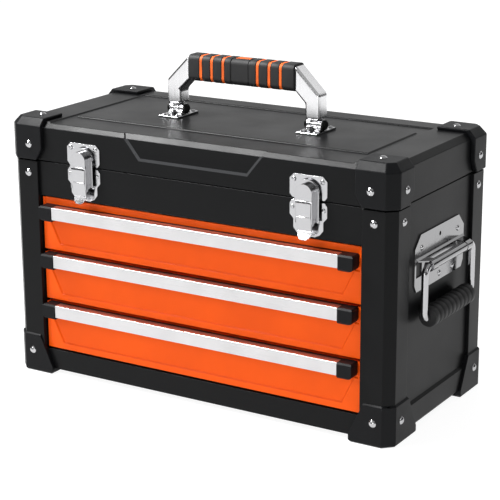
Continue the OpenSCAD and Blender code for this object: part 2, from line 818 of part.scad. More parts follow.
module lid_rivets() at_case() color(chrome) {
    for (sx = [-1, 1], sy = [-1, 1]) on_side(sx) on_face(sy) {
        x = cap_x - (cap_front + outer_chamfer) / 2;
        y = cap_y - (cap_end + outer_chamfer) / 2;
        dome_face(x, cap_y, lid_z + 19);
        dome_end(cap_x, y, lid_z + 19);
        translate([x, cap_y - 29, cap_top]) dome(rivet_d, 2.2);
    }
    for (sx = [-1, 1]) translate([sx * latch_x, 0, 0]) mirror([0, 1, 0])
        for (u = [-1, 1]) dome_face(u * (latch_w / 2 - 5.5), panel_y + latch_t, lid_z + 21, 6, 1.8);
    for (sx = [-1, 1], u = [-1, 1], v = [-1, 1])
        translate([sx * arm_x + u * 9, v * (bracket_l / 2 - 4.5), lid_top + bracket_t]) dome(6, 1.8);
}

// ---- rear hinges

module hinge_profile(way) {
    z = hinge_z;
    w = way;
    polygon([[panel_y, z + w * (7 + hinge_leaf)], [panel_y + hinge_t, z + w * (7 + hinge_leaf)],
        [panel_y + hinge_t, z + w * (7 + hinge_t)], [hinge_y + hinge_t / 2, z + w * (7 + hinge_t)],
        [hinge_y + hinge_t / 2, z + w * 3], [hinge_y - hinge_t / 2, z + w * 3],
        [hinge_y - hinge_t / 2, z + w * 7], [panel_y, z + w * 7]]);
}

module hinge_leaf_lower() at_case() color(zinc)
    for (s = [-1, 1]) translate([s * hinge_x, 0, 0]) {
        third = hinge_l / 3;
        difference() {
            union() {
                along_x(-hinge_l / 2, hinge_l / 2) hinge_profile(-1);
                rod_x(-hinge_l / 2, hinge_l / 2, hinge_y, hinge_z, hinge_r);
            }
            block([-third / 2 - 0.15, panel_y + hinge_t + 1, hinge_z - hinge_r - 0.4],
                [third / 2 + 0.15, hinge_y + hinge_r + 1, hinge_z + hinge_r + 1]);
        }
        rod_x(-hinge_l / 2, hinge_l / 2, hinge_y, hinge_z, hinge_pin_r);
    }

module hinge_leaf_upper() at_case() color(zinc)
    for (s = [-1, 1]) translate([s * hinge_x, 0, 0]) {
        third = hinge_l / 3;
        difference() {
            union() {
                along_x(-hinge_l / 2, hinge_l / 2) hinge_profile(1);
                rod_x(-third / 2, third / 2, hinge_y, hinge_z, hinge_r);
            }
            rod_x(-third, third, hinge_y, hinge_z, hinge_pin_r + shaft_slack);
            for (e = [-1, 1]) on_side(e)
                block([third / 2, panel_y + hinge_t + 1, hinge_z - hinge_r - 1],
                    [hinge_l / 2 + 1, hinge_y + hinge_r + 1, hinge_z + hinge_r + 0.4]);
        }
    }

// ---- carry handle

module handle_bracket(s) at_case() translate([s * arm_x, 0, 0]) color(chrome) {
    knuckle_out = bracket_w / 2 - 3.6;
    low = lid_top + bracket_t;
    skirt = 10.6;
    difference() {
        union() {
            block([-bracket_w / 2, -bracket_l / 2, lid_top], [bracket_w / 2, bracket_l / 2, low]);
            for (e = [-1, 1]) on_side(e) {
                along_x(tongue_w / 2 + slack, knuckle_out)
                    polygon([[-skirt, low], [skirt, low], [knuckle_r - 0.5, pivot_z - 2],
                        [knuckle_r - 0.5, pivot_z], [0.5 - knuckle_r, pivot_z],
                        [0.5 - knuckle_r, pivot_z - 2]]);
                rod_x(tongue_w / 2 + slack, knuckle_out, 0, pivot_z, knuckle_r);
            }
        }
        rod_x(-bracket_w, bracket_w, 0, pivot_z, pivot_r + shaft_slack);
    }
}

module handle_pivots() at_case() color(rubber)
    for (s = [-1, 1]) translate([s * arm_x, 0, 0]) {
        rod_x(-bracket_w / 2, bracket_w / 2, 0, pivot_z, pivot_r);
        for (e = [-1, 1]) on_side(e) {
            rod_x(bracket_w / 2 - 3.6, bracket_w / 2 - 1, 0, pivot_z, knuckle_r - 0.5);
            rod_x(bracket_w / 2 - 1, bracket_w / 2, 0, pivot_z, knuckle_r - 1.7);
        }
    }

module handle_frame() at_case() color(aluminium) {
    for (s = [-1, 1]) on_side(s) {
        out = arm_x + arm_w / 2;
        in = arm_x - arm_w / 2;
        turn = in - grip_half;
        along_y(-arm_d / 2, arm_d / 2)
            polygon([[in, arm_foot], [out, arm_foot], [out, handle_top - shoulder],
                [grip_half, handle_top], [grip_half, grip_low], [in, grip_low - turn]]);
        difference() {
            union() {
                rod_x(arm_x - tongue_w / 2, arm_x + tongue_w / 2, 0, pivot_z, knuckle_r - 0.4);
                block([arm_x - tongue_w / 2, -4.5, pivot_z], [arm_x + tongue_w / 2, 4.5, arm_foot]);
            }
            rod_x(arm_x - arm_w, arm_x + arm_w, 0, pivot_z, pivot_r + shaft_slack);
        }
    }
    block([-grip_half, -core_d / 2, grip_mid - core_d / 2],
        [grip_half, core_d / 2, grip_mid + core_d / 2]);
}

// rounded section of the grip, grown by g
module grip_section(g) {
    r = 6;
    y0 = grip_d / 2 - r;
    z0 = grip_h / 2 - r;
    translate([0, grip_mid]) {
        square([grip_d + 2 * g, 2 * z0], center = true);
        square([2 * y0, grip_h + 2 * g], center = true);
        for (y = [-y0, y0], z = [-z0, z0]) translate([y, z]) circle(r = r + g);
    }
}

module handle_grip() at_case() color(rubber)
difference() {
    union() {
        along_x(-grip_half, grip_half) grip_section(0);
        along_x(-10.7, 10.7) grip_section(0.6);
    }
    block([-grip_half - 1, -core_d / 2, grip_mid - core_d / 2],
        [grip_half + 1, core_d / 2, grip_mid + core_d / 2]);
    for (s = [-1, 1], x = ring_places) translate([s * x, 0, 0])
        difference() {
            along_x(-ring_w / 2, ring_w / 2) grip_section(1);
            along_x(-ring_w, ring_w) grip_section(-1.5);
        }
    grip_inlay(1);
}

// orange insert in the top of the grip's middle, or with up its pocket
module grip_inlay(up = 0)
    along_z(handle_top - inlay_d, handle_top + 0.8 + up)
        polygon([[-inlay_half, -5.5], [inlay_half, -5.5], [inlay_half - 2, 3.5], [2 - inlay_half, 3.5]]);

module grip_rings() at_case() color(orange) {
    for (s = [-1, 1], x = ring_places) translate([s * x, 0, 0])
        difference() {
            along_x(-ring_w / 2, ring_w / 2) grip_section(0.4);
            along_x(-ring_w, ring_w) grip_section(-1.5);
        }
    grip_inlay();
}

// ---- end handles

module end_plate(s) at_case() on_side(s) color(chrome)
difference() {
    union() {
        along_x(panel_x, panel_x + plate_t)
            polygon([[-plate_w / 2, plate_low + 8], [5 - plate_w / 2, plate_low],
                [plate_w / 2 - 5, plate_low], [plate_w / 2, plate_low + 8],
                [plate_w / 2, plate_top - plate_corner], [plate_w / 2 - plate_corner, plate_top],
                [plate_corner - plate_w / 2, plate_top], [-plate_w / 2, plate_top - plate_corner]]);
        // lip along the slot between the plate and the barrel
        along_y(-strap_out, strap_out)
            polygon([[panel_x + plate_t, bail_z + collar_r - plate_t],
                [panel_x + plate_t + 2, bail_z + collar_r - plate_t],
                [panel_x + plate_t + 2, bail_z + collar_r], [panel_x + plate_t, bail_z + collar_r + 2]]);
        for (e = [-1, 1]) on_face(e) {
            along_z(bail_z + collar_r - plate_t, bail_z + collar_r)
                polygon([[panel_x + plate_t, strap_in], [bail_x, collar_in], [bail_x, collar_out],
                    [panel_x + plate_t, strap_out]]);
            rod_y(collar_in, collar_out, bail_x, bail_z, collar_r);
        }
        rod_y(-collar_in - 1, collar_in + 1, bail_x, bail_z, barrel_r);
    }
    rod_y(-collar_out - 1, collar_out + 1, bail_x, bail_z, bail_r + shaft_slack);
    rod_x(panel_x - 1, panel_x + plate_t + 1, 0, plate_top - 10, 2.5);
    // windows that the straps were bent out of
    for (e = [-1, 1]) on_face(e)
        block([panel_x - 1, strap_in + 5, bail_z - 14],
            [panel_x + plate_t + 1, strap_out - 1, bail_z + collar_r - plate_t]);
}

module end_bail(s) at_case() on_side(s) translate([bail_x, 0, bail_z]) color(chrome) {
    run = bail_half - bail_bend;
    rod_y(-run, run, 0, 0, bail_r);
    rod_y(-run, run, 0, -bail_drop, bail_r);
    for (e = [-1, 1]) on_face(e) {
        translate([0, bail_half, bail_bend - bail_drop]) cylinder(h = bail_drop - 2 * bail_bend, r = bail_r);
        translate([0, run, -bail_bend]) wire_bend();
        translate([0, run, bail_bend - bail_drop]) mirror([0, 0, 1]) wire_bend();
    }
}

// quarter bend of the bail wire, between +Y and +Z
module wire_bend() rotate([90, 0, 90]) rotate_extrude(angle = 90) translate([bail_bend, 0]) circle(r = bail_r);

module end_grip(s) {
    big = bail_grip_d / 2;
    groove = 1.4;
    bore = bail_r + 0.05;
    half = bail_grip_half - bail_bend + bail_r;
    step = 2 * half / bail_ribs;
    at_case() on_side(s) translate([bail_x, 0, bail_z - bail_drop]) rotate([-90, 0, 0]) color(rubber)
    rotate_extrude() polygon(concat(
        [[bore, half], [bore, -half]],
        [for (i = [0:bail_ribs - 1], q = [[big - groove, 0], [big, 0.18], [big, 0.72], [big - groove, 0.9]])
            [q[0], (i + q[1]) * step - half]],
        [[big - groove, half]]));
}

wrapper();
back_panel();
front_frame();
tray_floor();
inner_wall(-1);  // inner_wall_left
inner_wall(1);  // inner_wall_right
slide_rails(-1);  // slide_rails_left
slide_rails(1);  // slide_rails_right
corner_post(-1, -1);  // post_front_left
corner_post(1, -1);  // post_front_right
corner_post(-1, 1);  // post_rear_left
corner_post(1, 1);  // post_rear_right
corner_foot(-1, -1);  // foot_front_left
corner_foot(1, -1);  // foot_front_right
corner_foot(-1, 1);  // foot_rear_left
corner_foot(1, 1);  // foot_rear_right
cabinet_rivets();
latch_base(-1);  // latch_base_left
latch_base(1);  // latch_base_right
end_plate(-1);  // end_plate_left
end_plate(1);  // end_plate_right
hinge_leaf_lower();
lid_shell();
lid_cap(-1, -1);  // lid_cap_front_left
lid_cap(1, -1);  // lid_cap_front_right
lid_cap(-1, 1);  // lid_cap_rear_left
lid_cap(1, 1);  // lid_cap_rear_right
lid_rivets();
strike(-1);  // strike_left
strike(1);  // strike_right
hinge_leaf_upper();
handle_bracket(-1);  // handle_bracket_left
handle_bracket(1);  // handle_bracket_right
handle_pivots();
handle_frame();
handle_grip();
grip_rings();
end_bail(-1);  // end_bail_left
end_bail(1);  // end_bail_right
end_grip(-1);  // end_grip_left
end_grip(1);  // end_grip_right
latch_lever(-1);  // latch_lever_left
latch_lever(1);  // latch_lever_right
latch_hook(-1);  // latch_hook_left
latch_hook(1);  // latch_hook_right
drawer_front(1);  // drawer_front_1
drawer_front(2);  // drawer_front_2
drawer_front(3);  // drawer_front_3
drawer_tray(1);  // drawer_tray_1
drawer_tray(2);  // drawer_tray_2
drawer_tray(3);  // drawer_tray_3
drawer_pull(1);  // drawer_pull_1
drawer_pull(2);  // drawer_pull_2
drawer_pull(3);  // drawer_pull_3
pull_caps(1);  // pull_caps_1
pull_caps(2);  // pull_caps_2
pull_caps(3);  // pull_caps_3
ball_cages(1);  // ball_cages_1
ball_cages(2);  // ball_cages_2
ball_cages(3);  // ball_cages_3
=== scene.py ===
"""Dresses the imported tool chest: rounded edges, pressed detail, finishes and a studio."""

import json
import math

import bmesh
import bpy
from bpy.props import FloatProperty, FloatVectorProperty, PointerProperty
from mathutils import Matrix, Vector


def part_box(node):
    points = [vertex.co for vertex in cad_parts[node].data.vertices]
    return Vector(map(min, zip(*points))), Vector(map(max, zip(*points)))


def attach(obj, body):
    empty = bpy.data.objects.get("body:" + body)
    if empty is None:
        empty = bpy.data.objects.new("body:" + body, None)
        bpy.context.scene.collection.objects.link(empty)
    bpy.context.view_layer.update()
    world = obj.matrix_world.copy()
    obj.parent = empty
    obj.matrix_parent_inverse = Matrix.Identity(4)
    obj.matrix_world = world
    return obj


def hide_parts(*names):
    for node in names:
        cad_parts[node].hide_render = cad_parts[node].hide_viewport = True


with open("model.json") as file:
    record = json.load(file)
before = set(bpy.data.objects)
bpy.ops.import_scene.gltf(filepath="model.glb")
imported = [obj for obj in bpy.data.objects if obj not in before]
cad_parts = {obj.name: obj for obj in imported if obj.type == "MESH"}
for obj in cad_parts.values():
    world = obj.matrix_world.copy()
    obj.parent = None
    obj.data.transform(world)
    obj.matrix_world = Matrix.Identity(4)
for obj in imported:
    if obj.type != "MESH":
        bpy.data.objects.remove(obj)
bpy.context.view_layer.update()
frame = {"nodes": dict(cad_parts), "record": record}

bl_info = {
    "name": "Portable tool chest",
    "version": (1, 0, 0),
    "blender": (4, 5, 0),
    "location": "3D Viewport > Sidebar > Tool chest",
    "description": "Dresses the packed tool chest and sets up its studio",
    "category": "Object",
}

MM = 0.001
SIDES = ("left", "right")
CORNERS = ("front_left", "front_right", "rear_left", "rear_right")
DRAWERS = (1, 2, 3)

# rounding of a piece as a share of its group's radius
POST_SHARE = 1.6
LID_SHARE = 0.8
DRAWER_SHARE = 0.7
PULL_CAP_SHARE = 1.4

# folds of the lid's pressed field, which get a painted highlight: how far behind its front
# they lie, and how they look
FOLD_REACH = 2.5 * MM
FOLD_FORWARD = (0.8, 0.95)
FOLD_UPWARD = (0.2, 0.5)

# latches: the beads are placed from the lever's top and the hook's face
LEVER_BEAD_DROP = 15.3 * MM
HOOK_BEAD_RISE = 2.2 * MM
BEAD_SET_BACK = 0.65 * MM
BEAD_ROUNDING = 0.5 * MM
FACE_REACH = 6.0 * MM
SIDE_REACH = 0.3 * MM
LEAST_FACE_AREA = 40.0 * MM * MM
LEAST_SIDE_AREA = 20.0 * MM * MM

# carry grip, measured along it from its middle
RING_PLACES = (23.1 * MM, 38.5 * MM, 53.5 * MM)
RING_HALF = 1.6 * MM
PAD_HALF = 12.2 * MM
BLOCK_GAP = 0.9 * MM
BLOCK_END = 0.5 * MM
BLOCK_ROUNDING = 0.6 * MM
BLOCK_EDGE_ANGLE = 50.0
GRIP_ROUNDING = 0.5 * MM

# shaping: angles in degrees
MERGE_DISTANCE = 0.002 * MM
FLAT_ANGLE = 0.4
ROUND_SMOOTH = 40.0
RIB_SMOOTH = 50.0
SHORTEST_EDGE = 0.3 * MM
SHORTEST_ARM_EDGE = 14.0 * MM
NARROW_SHARE = 0.4
FACING = 0.98

# finishes: the shader's metallic value, and where most of a noise pattern's values lie
PAINTED = 0.0
BARE_METAL = 1.0
NOISE_LOW = 0.3
NOISE_HIGH = 0.7

# studio, in metres and degrees; each light has its place, size and share of the key light
CAMERA_AIM = (4.8 * MM, 1.0 * MM, 157.99 * MM)
SENSOR_WIDTH = 36.0
FAR_CLIP = 200.0
FLOOR_SPAN = 190.0
LIGHT_AIM = (0.0, 0.0, 0.18)
SOFTBOXES = (
    ("Key softbox", (-1.1, -0.6, 1.95), (0.6, 0.6), 1.0),
    ("Front softbox", (-1.3, -2.0, 1.5), (0.55, 0.55), 0.17),
    ("Brow card", (0.5, -2.5, 0.95), (0.5, 0.4), 0.05),
    ("Front card", (0.9, -2.5, 0.42), (1.4, 0.4), 0.08),
    ("End softbox", (2.3, -0.5, 1.4), (0.4, 1.4), 0.06),
    ("Back card", (-0.5, 2.7, 1.35), (4.6, 1.9), 0.26),
)
CEILING_SPREAD = 120.0


# ---- sizes and colours that a user would change


class SheetMetalSettings(bpy.types.PropertyGroup):
    """Edges and paint of the cabinet, the lid and the drawers"""

    fold_radius: FloatProperty(
        name="Fold radius",
        description="Rounding of the folded edges of the cabinet and posts",
        default=1.1 * MM,
        min=0.1 * MM,
        subtype="DISTANCE",
        unit="LENGTH",
    )
    cut_radius: FloatProperty(
        name="Cut edge radius",
        description="Rounding of the cut edges of thin sheet",
        default=0.45 * MM,
        min=0.05 * MM,
        subtype="DISTANCE",
        unit="LENGTH",
    )
    cabinet_paint: FloatVectorProperty(
        name="Cabinet paint",
        description="Colour of the powder coat on the cabinet and lid",
        subtype="COLOR",
        size=3,
        min=0.0,
        max=1.0,
        default=(0.0062, 0.0064, 0.0068),
    )
    # painted highlight: how many times lighter than the cabinet paint the lid's folds are
    # coated, standing in for light on them
    highlighted: FloatProperty(
        name="Painted fold highlight",
        description="How much lighter the coat is on the rubbed folds of the lid",
        default=7.0,
        min=1.0,
    )
    drawer_paint: FloatVectorProperty(
        name="Drawer paint",
        description="Colour of the powder coat on the drawer fronts",
        subtype="COLOR",
        size=3,
        min=0.0,
        max=1.0,
        default=(0.98, 0.105, 0.004),
    )


class TrimSettings(bpy.types.PropertyGroup):
    """Plastic corners, rubber grips and bright metal"""

    corner_radius: FloatProperty(
        name="Corner radius",
        description="Rounding of the moulded corners and end caps",
        default=1.3 * MM,
        min=0.1 * MM,
        subtype="DISTANCE",
        unit="LENGTH",
    )
    corner_plastic: FloatVectorProperty(
        name="Corner plastic",
        description="Colour of the moulded corners",
        subtype="COLOR",
        size=3,
        min=0.0,
        max=1.0,
        default=(0.0055, 0.0058, 0.0066),
    )
    accent: FloatVectorProperty(
        name="Grip accent",
        description="Colour of the rings and the inlay on the carry grip",
        subtype="COLOR",
        size=3,
        min=0.0,
        max=1.0,
        default=(0.8, 0.12, 0.006),
    )
    rubber: FloatVectorProperty(
        name="Grip rubber",
        description="Colour of the rubber of the grips",
        subtype="COLOR",
        size=3,
        min=0.0,
        max=1.0,
        default=(0.008, 0.008, 0.0085),
    )
    block_rise: FloatProperty(
        name="Grip block rise",
        description="Height of the rubber blocks between the rings above the grip",
        default=0.7 * MM,
        min=0.1 * MM,
        subtype="DISTANCE",
        unit="LENGTH",
    )
    frame_radius: FloatProperty(
        name="Handle frame radius",
        description="Rounding of the long edges of the carry handle's arms",
        default=3.2 * MM,
        min=0.5 * MM,
        subtype="DISTANCE",
        unit="LENGTH",
    )
    pull_radius: FloatProperty(
        name="Pull radius",
        description="Rounding of the long edges of the drawer pulls",
        default=1.1 * MM,
        min=0.1 * MM,
        subtype="DISTANCE",
        unit="LENGTH",
    )
    pull_metal: FloatVectorProperty(
        name="Pull metal",
        description="Colour of the satin metal of the drawer pulls",
        subtype="COLOR",
        size=3,
        min=0.0,
        max=1.0,
        default=(0.6, 0.595, 0.6),
    )
    handle_metal: FloatVectorProperty(
        name="Handle metal",
        description="Colour of the brushed frame of the carry handle",
        subtype="COLOR",
        size=3,
        min=0.0,
        max=1.0,
        default=(0.8, 0.8, 0.81),
    )


class PlatingSettings(bpy.types.PropertyGroup):
    """Plated latches, brackets and end handles"""

    plating: FloatVectorProperty(
        name="Plating",
        description="Colour of the bright plating",
        subtype="COLOR",
        size=3,
        min=0.0,
        max=1.0,
        default=(0.47, 0.47, 0.48),
    )
    end_plating: FloatVectorProperty(
        name="End plate plating",
        description="Colour of the duller plating of the end handles' plates",
        subtype="COLOR",
        size=3,
        min=0.0,
        max=1.0,
        default=(0.31, 0.31, 0.315),
    )
    pressed_radius: FloatProperty(
        name="Pressed radius",
        description="Rounding of the pressed plates and brackets",
        default=0.8 * MM,
        min=0.1 * MM,
        subtype="DISTANCE",
        unit="LENGTH",
    )
    lever_radius: FloatProperty(
        name="Lever radius",
        description="Rounding of the latch levers and hooks",
        default=0.5 * MM,
        min=0.1 * MM,
        subtype="DISTANCE",
        unit="LENGTH",
    )
    lever_rim: FloatProperty(
        name="Lever rim",
        description="Width of the rim left round the sunk face of a lever",
        default=1.0 * MM,
        min=0.2 * MM,
        subtype="DISTANCE",
        unit="LENGTH",
    )
    hook_rim: FloatProperty(
        name="Hook rim",
        description="Width of the rim left round the sunk face of a hook",
        default=0.9 * MM,
        min=0.2 * MM,
        subtype="DISTANCE",
        unit="LENGTH",
    )
    face_depth: FloatProperty(
        name="Face depth",
        description="How far the faces of the levers and hooks are sunk",
        default=0.5 * MM,
        min=0.1 * MM,
        subtype="DISTANCE",
        unit="LENGTH",
    )
    side_rim: FloatProperty(
        name="Side rim",
        description="Width of the rim left round the hollow sides of levers and hooks",
        default=0.8 * MM,
        min=0.2 * MM,
        subtype="DISTANCE",
        unit="LENGTH",
    )
    side_depth: FloatProperty(
        name="Side depth",
        description="How far the sides of the levers are hollowed",
        default=2.0 * MM,
        min=0.2 * MM,
        subtype="DISTANCE",
        unit="LENGTH",
    )
    bead_length: FloatProperty(
        name="Bead length",
        description="Length of the rounded ribs across the latches",
        default=14.6 * MM,
        min=2.0 * MM,
        subtype="DISTANCE",
        unit="LENGTH",
    )
    bead_size: FloatProperty(
        name="Bead size",
        description="Height and depth of the rounded ribs across the latches",
        default=1.2 * MM,
        min=0.4 * MM,
        subtype="DISTANCE",
        unit="LENGTH",
    )


class StudioSettings(bpy.types.PropertyGroup):
    """Camera and light"""

    azimuth: FloatProperty(
        name="Camera azimuth",
        description="Angle of the camera to the right of the front",
        default=math.radians(31.492),
        subtype="ANGLE",
    )
    elevation: FloatProperty(
        name="Camera elevation",
        description="Angle of the camera above the horizon",
        default=math.radians(16.383),
        subtype="ANGLE",
    )
    roll: FloatProperty(
        name="Camera roll",
        description="Tilt of the camera about its own axis",
        default=math.radians(-0.298),
        subtype="ANGLE",
    )
    distance: FloatProperty(
        name="Camera distance",
        description="Distance from the camera to the point it looks at",
        default=1.9568,
        subtype="DISTANCE",
        unit="LENGTH",
    )
    lens: FloatProperty(
        name="Lens",
        description="Focal length in millimetres on a 36 mm sensor",
        default=118.96,
        unit="CAMERA",
    )
    key_light: FloatProperty(
        name="Key light",
        description="Power of the key softbox in watts; the other softboxes follow it",
        default=78.0,
        subtype="POWER",
    )
    ceiling_light: FloatProperty(
        name="Ceiling light",
        description="Strength of the soft light that falls from straight above",
        default=0.9,
    )
    room_light: FloatProperty(
        name="Room light",
        description="Strength of the even light from the studio walls",
        default=0.04,
    )
    table_light: FloatProperty(
        name="Table light",
        description="Glow of the white light table under the chest",
        default=0.92,
    )


def sheet_metal():
    return bpy.context.scene.chest_sheet_metal


def trim():
    return bpy.context.scene.chest_trim


def plating():
    return bpy.context.scene.chest_plating


def studio():
    return bpy.context.scene.chest_studio


# ---- finishes


def start_finish(name, colour, metallic, roughness, sheen=0.5):
    """A new material with its plain values set on the shader itself."""
    material = bpy.data.materials.new(name)
    material.use_nodes = True
    shader = material.node_tree.nodes["Principled BSDF"]
    shader.inputs["Base Color"].default_value = (*colour, 1.0)
    shader.inputs["Metallic"].default_value = metallic
    shader.inputs["Roughness"].default_value = roughness
    shader.inputs["Specular IOR Level"].default_value = sheen
    return material, material.node_tree, shader


def place_on_piece(tree, stretch=(1.0, 1.0, 1.0)):
    """Object coordinates, stretched to suit a grain."""
    where = tree.nodes.new("ShaderNodeTexCoord")
    mapping = tree.nodes.new("ShaderNodeMapping")
    mapping.inputs["Scale"].default_value = stretch
    tree.links.new(where.outputs["Object"], mapping.inputs["Vector"])
    return mapping.outputs["Vector"]


def speckle(tree, place, cells, detail=2.0):
    """Noise with so many cells to the metre."""
    noise = tree.nodes.new("ShaderNodeTexNoise")
    noise.inputs["Scale"].default_value = cells
    noise.inputs["Detail"].default_value = detail
    tree.links.new(place, noise.inputs["Vector"])
    return noise.outputs["Fac"]


def between(tree, factor, low, high):
    """A number that runs from low to high as a noise pattern does."""
    spread = tree.nodes.new("ShaderNodeMapRange")
    spread.inputs["From Min"].default_value = NOISE_LOW
    spread.inputs["From Max"].default_value = NOISE_HIGH
    spread.inputs["To Min"].default_value = low
    spread.inputs["To Max"].default_value = high
    tree.links.new(factor, spread.inputs["Value"])
    return spread.outputs["Result"]


def blend_colours(tree, factor, first, second):
    mix = tree.nodes.new("ShaderNodeMix")
    mix.data_type = "RGBA"
    mix.inputs["A"].default_value = (*first, 1.0)
    mix.inputs["B"].default_value = (*second, 1.0)
    tree.links.new(factor, mix.inputs["Factor"])
    return mix.outputs["Result"]


def rough_up(tree, shader, height, depth, strength=1.0):
    bump = tree.nodes.new("ShaderNodeBump")
    bump.inputs["Strength"].default_value = strength
    bump.inputs["Distance"].default_value = depth
    tree.links.new(height, bump.inputs["Height"])
    tree.links.new(bump.outputs["Normal"], shader.inputs["Normal"])


def shade(colour, factor):
    return tuple(min(1.0, part * factor) for part in colour)


def mottled(name, colour, roughness, sheen, clouds, tones, polish, grain):
    """A coat whose tone and gloss drift in clouds, over a fine grain.

    clouds: cells per metre and detail; tones: darkest and lightest share of the colour;
    polish: lowest and highest roughness; grain: cells per metre, detail and height.
    """
    material, tree, shader = start_finish(name, colour, PAINTED, roughness, sheen)
    place = place_on_piece(tree)
    cloud = speckle(tree, place, *clouds)
    drift = between(tree, cloud, 0.0, 1.0)
    tint = blend_colours(tree, drift, shade(colour, tones[0]), shade(colour, tones[1]))
    tree.links.new(tint, shader.inputs["Base Color"])
    tree.links.new(between(tree, cloud, *polish), shader.inputs["Roughness"])
    cells, detail, height = grain
    rough_up(tree, shader, speckle(tree, place, cells, detail), height)
    return material


def powder_coat(name, colour, gloss=0.34, grain=0.03, sheen=0.1):
    """Baked powder paint: fine orange peel, its grain in mm, and slightly uneven gloss."""
    return mottled(
        name,
        colour,
        roughness=gloss,
        sheen=sheen,
        clouds=(14.0, 3.0),
        tones=(0.93, 1.06),
        polish=(gloss - 0.04, gloss + 0.05),
        grain=(1300.0, 2.0, grain * MM),
    )


def moulded_plastic(name, colour):
    """Injection moulding with a fine spark-eroded texture."""
    return mottled(
        name,
        colour,
        roughness=0.42,
        sheen=0.12,
        clouds=(30.0, 2.0),
        tones=(0.9, 1.12),
        polish=(0.38, 0.47),
        grain=(1900.0, 3.0, 0.05 * MM),
    )


def soft_rubber(name, colour):
    """Matt rubber with a fine grain."""
    return mottled(
        name,
        colour,
        roughness=0.62,
        sheen=0.5,
        clouds=(60.0, 3.0),
        tones=(0.85, 1.2),
        polish=(0.56, 0.7),
        grain=(1500.0, 4.0, 0.06 * MM),
    )


def bright_chrome(name, colour):
    """Polished plating over a pressed part, with faint handling haze."""
    material, tree, shader = start_finish(name, colour, BARE_METAL, roughness=0.12)
    place = place_on_piece(tree)
    haze = between(tree, speckle(tree, place, cells=90.0, detail=4.0), low=0.08, high=0.2)
    tree.links.new(haze, shader.inputs["Roughness"])
    rough_up(tree, shader, speckle(tree, place, cells=1500.0), depth=0.025 * MM)
    return material


def drawn_metal(name, colour, roughness, stretch):
    """Extruded or brushed metal whose lines run along the axis with the small stretch."""
    material, tree, shader = start_finish(name, colour, BARE_METAL, roughness)
    lines = speckle(tree, place_on_piece(tree, stretch), cells=1.0, detail=3.0)
    cloud = speckle(tree, place_on_piece(tree), cells=25.0)
    drift = between(tree, cloud, 0.0, 1.0)
    tint = blend_colours(tree, drift, shade(colour, 0.95), shade(colour, 1.05))
    tree.links.new(tint, shader.inputs["Base Color"])
    polish = between(tree, lines, roughness - 0.04, roughness + 0.05)
    tree.links.new(polish, shader.inputs["Roughness"])
    rough_up(tree, shader, lines, depth=0.006 * MM, strength=0.6)
    return material


def zinc_plate(name):
    """Passivated zinc with a soft spangle."""
    middle, dark, light = (0.6, 0.61, 0.62), (0.53, 0.54, 0.55), (0.68, 0.69, 0.7)
    material, tree, shader = start_finish(name, middle, BARE_METAL, roughness=0.36)
    place = place_on_piece(tree)
    cells = tree.nodes.new("ShaderNodeTexVoronoi")
    cells.inputs["Scale"].default_value = 130.0
    tree.links.new(place, cells.inputs["Vector"])
    tint = blend_colours(tree, cells.outputs["Distance"], dark, light)
    tree.links.new(tint, shader.inputs["Base Color"])
    haze = between(tree, speckle(tree, place, cells=220.0), low=0.3, high=0.42)
    tree.links.new(haze, shader.inputs["Roughness"])
    return material


FINISHES = {}


def make_finish(slot):
    """A new material for a slot of the record, or for a painted highlight on part of one, or
    for a duller part of one.
    """
    metal, fittings = sheet_metal(), plating()
    black = tuple(metal.cabinet_paint)
    if slot == "case_black":
        return powder_coat("Black powder coat", black)
    # painted highlight: the lid's folds get the cabinet paint made lighter, in place of light
    # on them
    if slot == "painted_highlight_black":
        lighter = shade(black, metal.highlighted)
        return powder_coat("Powder coat with painted highlight", lighter, gloss=0.3, grain=0.02, sheen=0.2)
    if slot == "drawer_orange":
        orange = tuple(metal.drawer_paint)
        return powder_coat("Orange powder coat", orange, gloss=0.36, grain=0.025, sheen=0.12)
    if slot == "bolt_black":
        return powder_coat("Bolt black", (0.008, 0.008, 0.008), gloss=0.3)
    if slot == "corner_plastic":
        return moulded_plastic("Corner plastic", tuple(trim().corner_plastic))
    if slot == "grip_rubber":
        return soft_rubber("Grip rubber", tuple(trim().rubber))
    if slot == "ring_orange":
        return soft_rubber("Accent rubber", tuple(trim().accent))
    if slot == "chrome":
        return bright_chrome("Bright plating", tuple(fittings.plating))
    if slot == "plate_chrome":
        return bright_chrome("Plate plating", tuple(fittings.end_plating))
    if slot == "pull_aluminium":
        along_x = (6.0, 2600.0, 2600.0)
        satin = tuple(trim().pull_metal)
        return drawn_metal("Satin pull", satin, roughness=0.3, stretch=along_x)
    if slot == "handle_silver":
        along_z = (1500.0, 1500.0, 25.0)
        lacquer = tuple(trim().handle_metal)
        return drawn_metal("Handle lacquer", lacquer, roughness=0.22, stretch=along_z)
    if slot == "zinc_steel":
        return zinc_plate("Zinc plate")
    raise RuntimeError(f"no finish is known for {slot}")


def finish_for(slot):
    """The material of a slot, made when it is first asked for."""
    if slot not in FINISHES:
        FINISHES[slot] = make_finish(slot)
    return FINISHES[slot]


# ---- shaping


def only(piece):
    bpy.ops.object.select_all(action="DESELECT")
    piece.select_set(True)
    bpy.context.view_layer.objects.active = piece


def slot_of(node):
    for part in frame["record"]["subparts"]:
        if part["node"] == node:
            return part["material_slot"]
    raise RuntimeError(f"{node} has no material slot")


def body_of(node):
    for body, nodes in frame["record"]["behaviour"]["bodies"].items():
        if node in nodes:
            return body
    raise RuntimeError(f"{node} is in no body")


def fold_weight(edge, radius, angle, least):
    """How much of the radius an edge can take: less where a face beside it is narrow."""
    if len(edge.link_faces) != 2 or edge.calc_face_angle(0.0) < angle:
        return 0.0
    if edge.calc_length() < least:
        return 0.0
    start = edge.verts[0].co
    along = (edge.verts[1].co - start).normalized()
    reach = min(
        max((v.co - start - along * (v.co - start).dot(along)).length for v in face.verts)
        for face in edge.link_faces
    )
    return min(1.0, NARROW_SHARE * reach / radius)


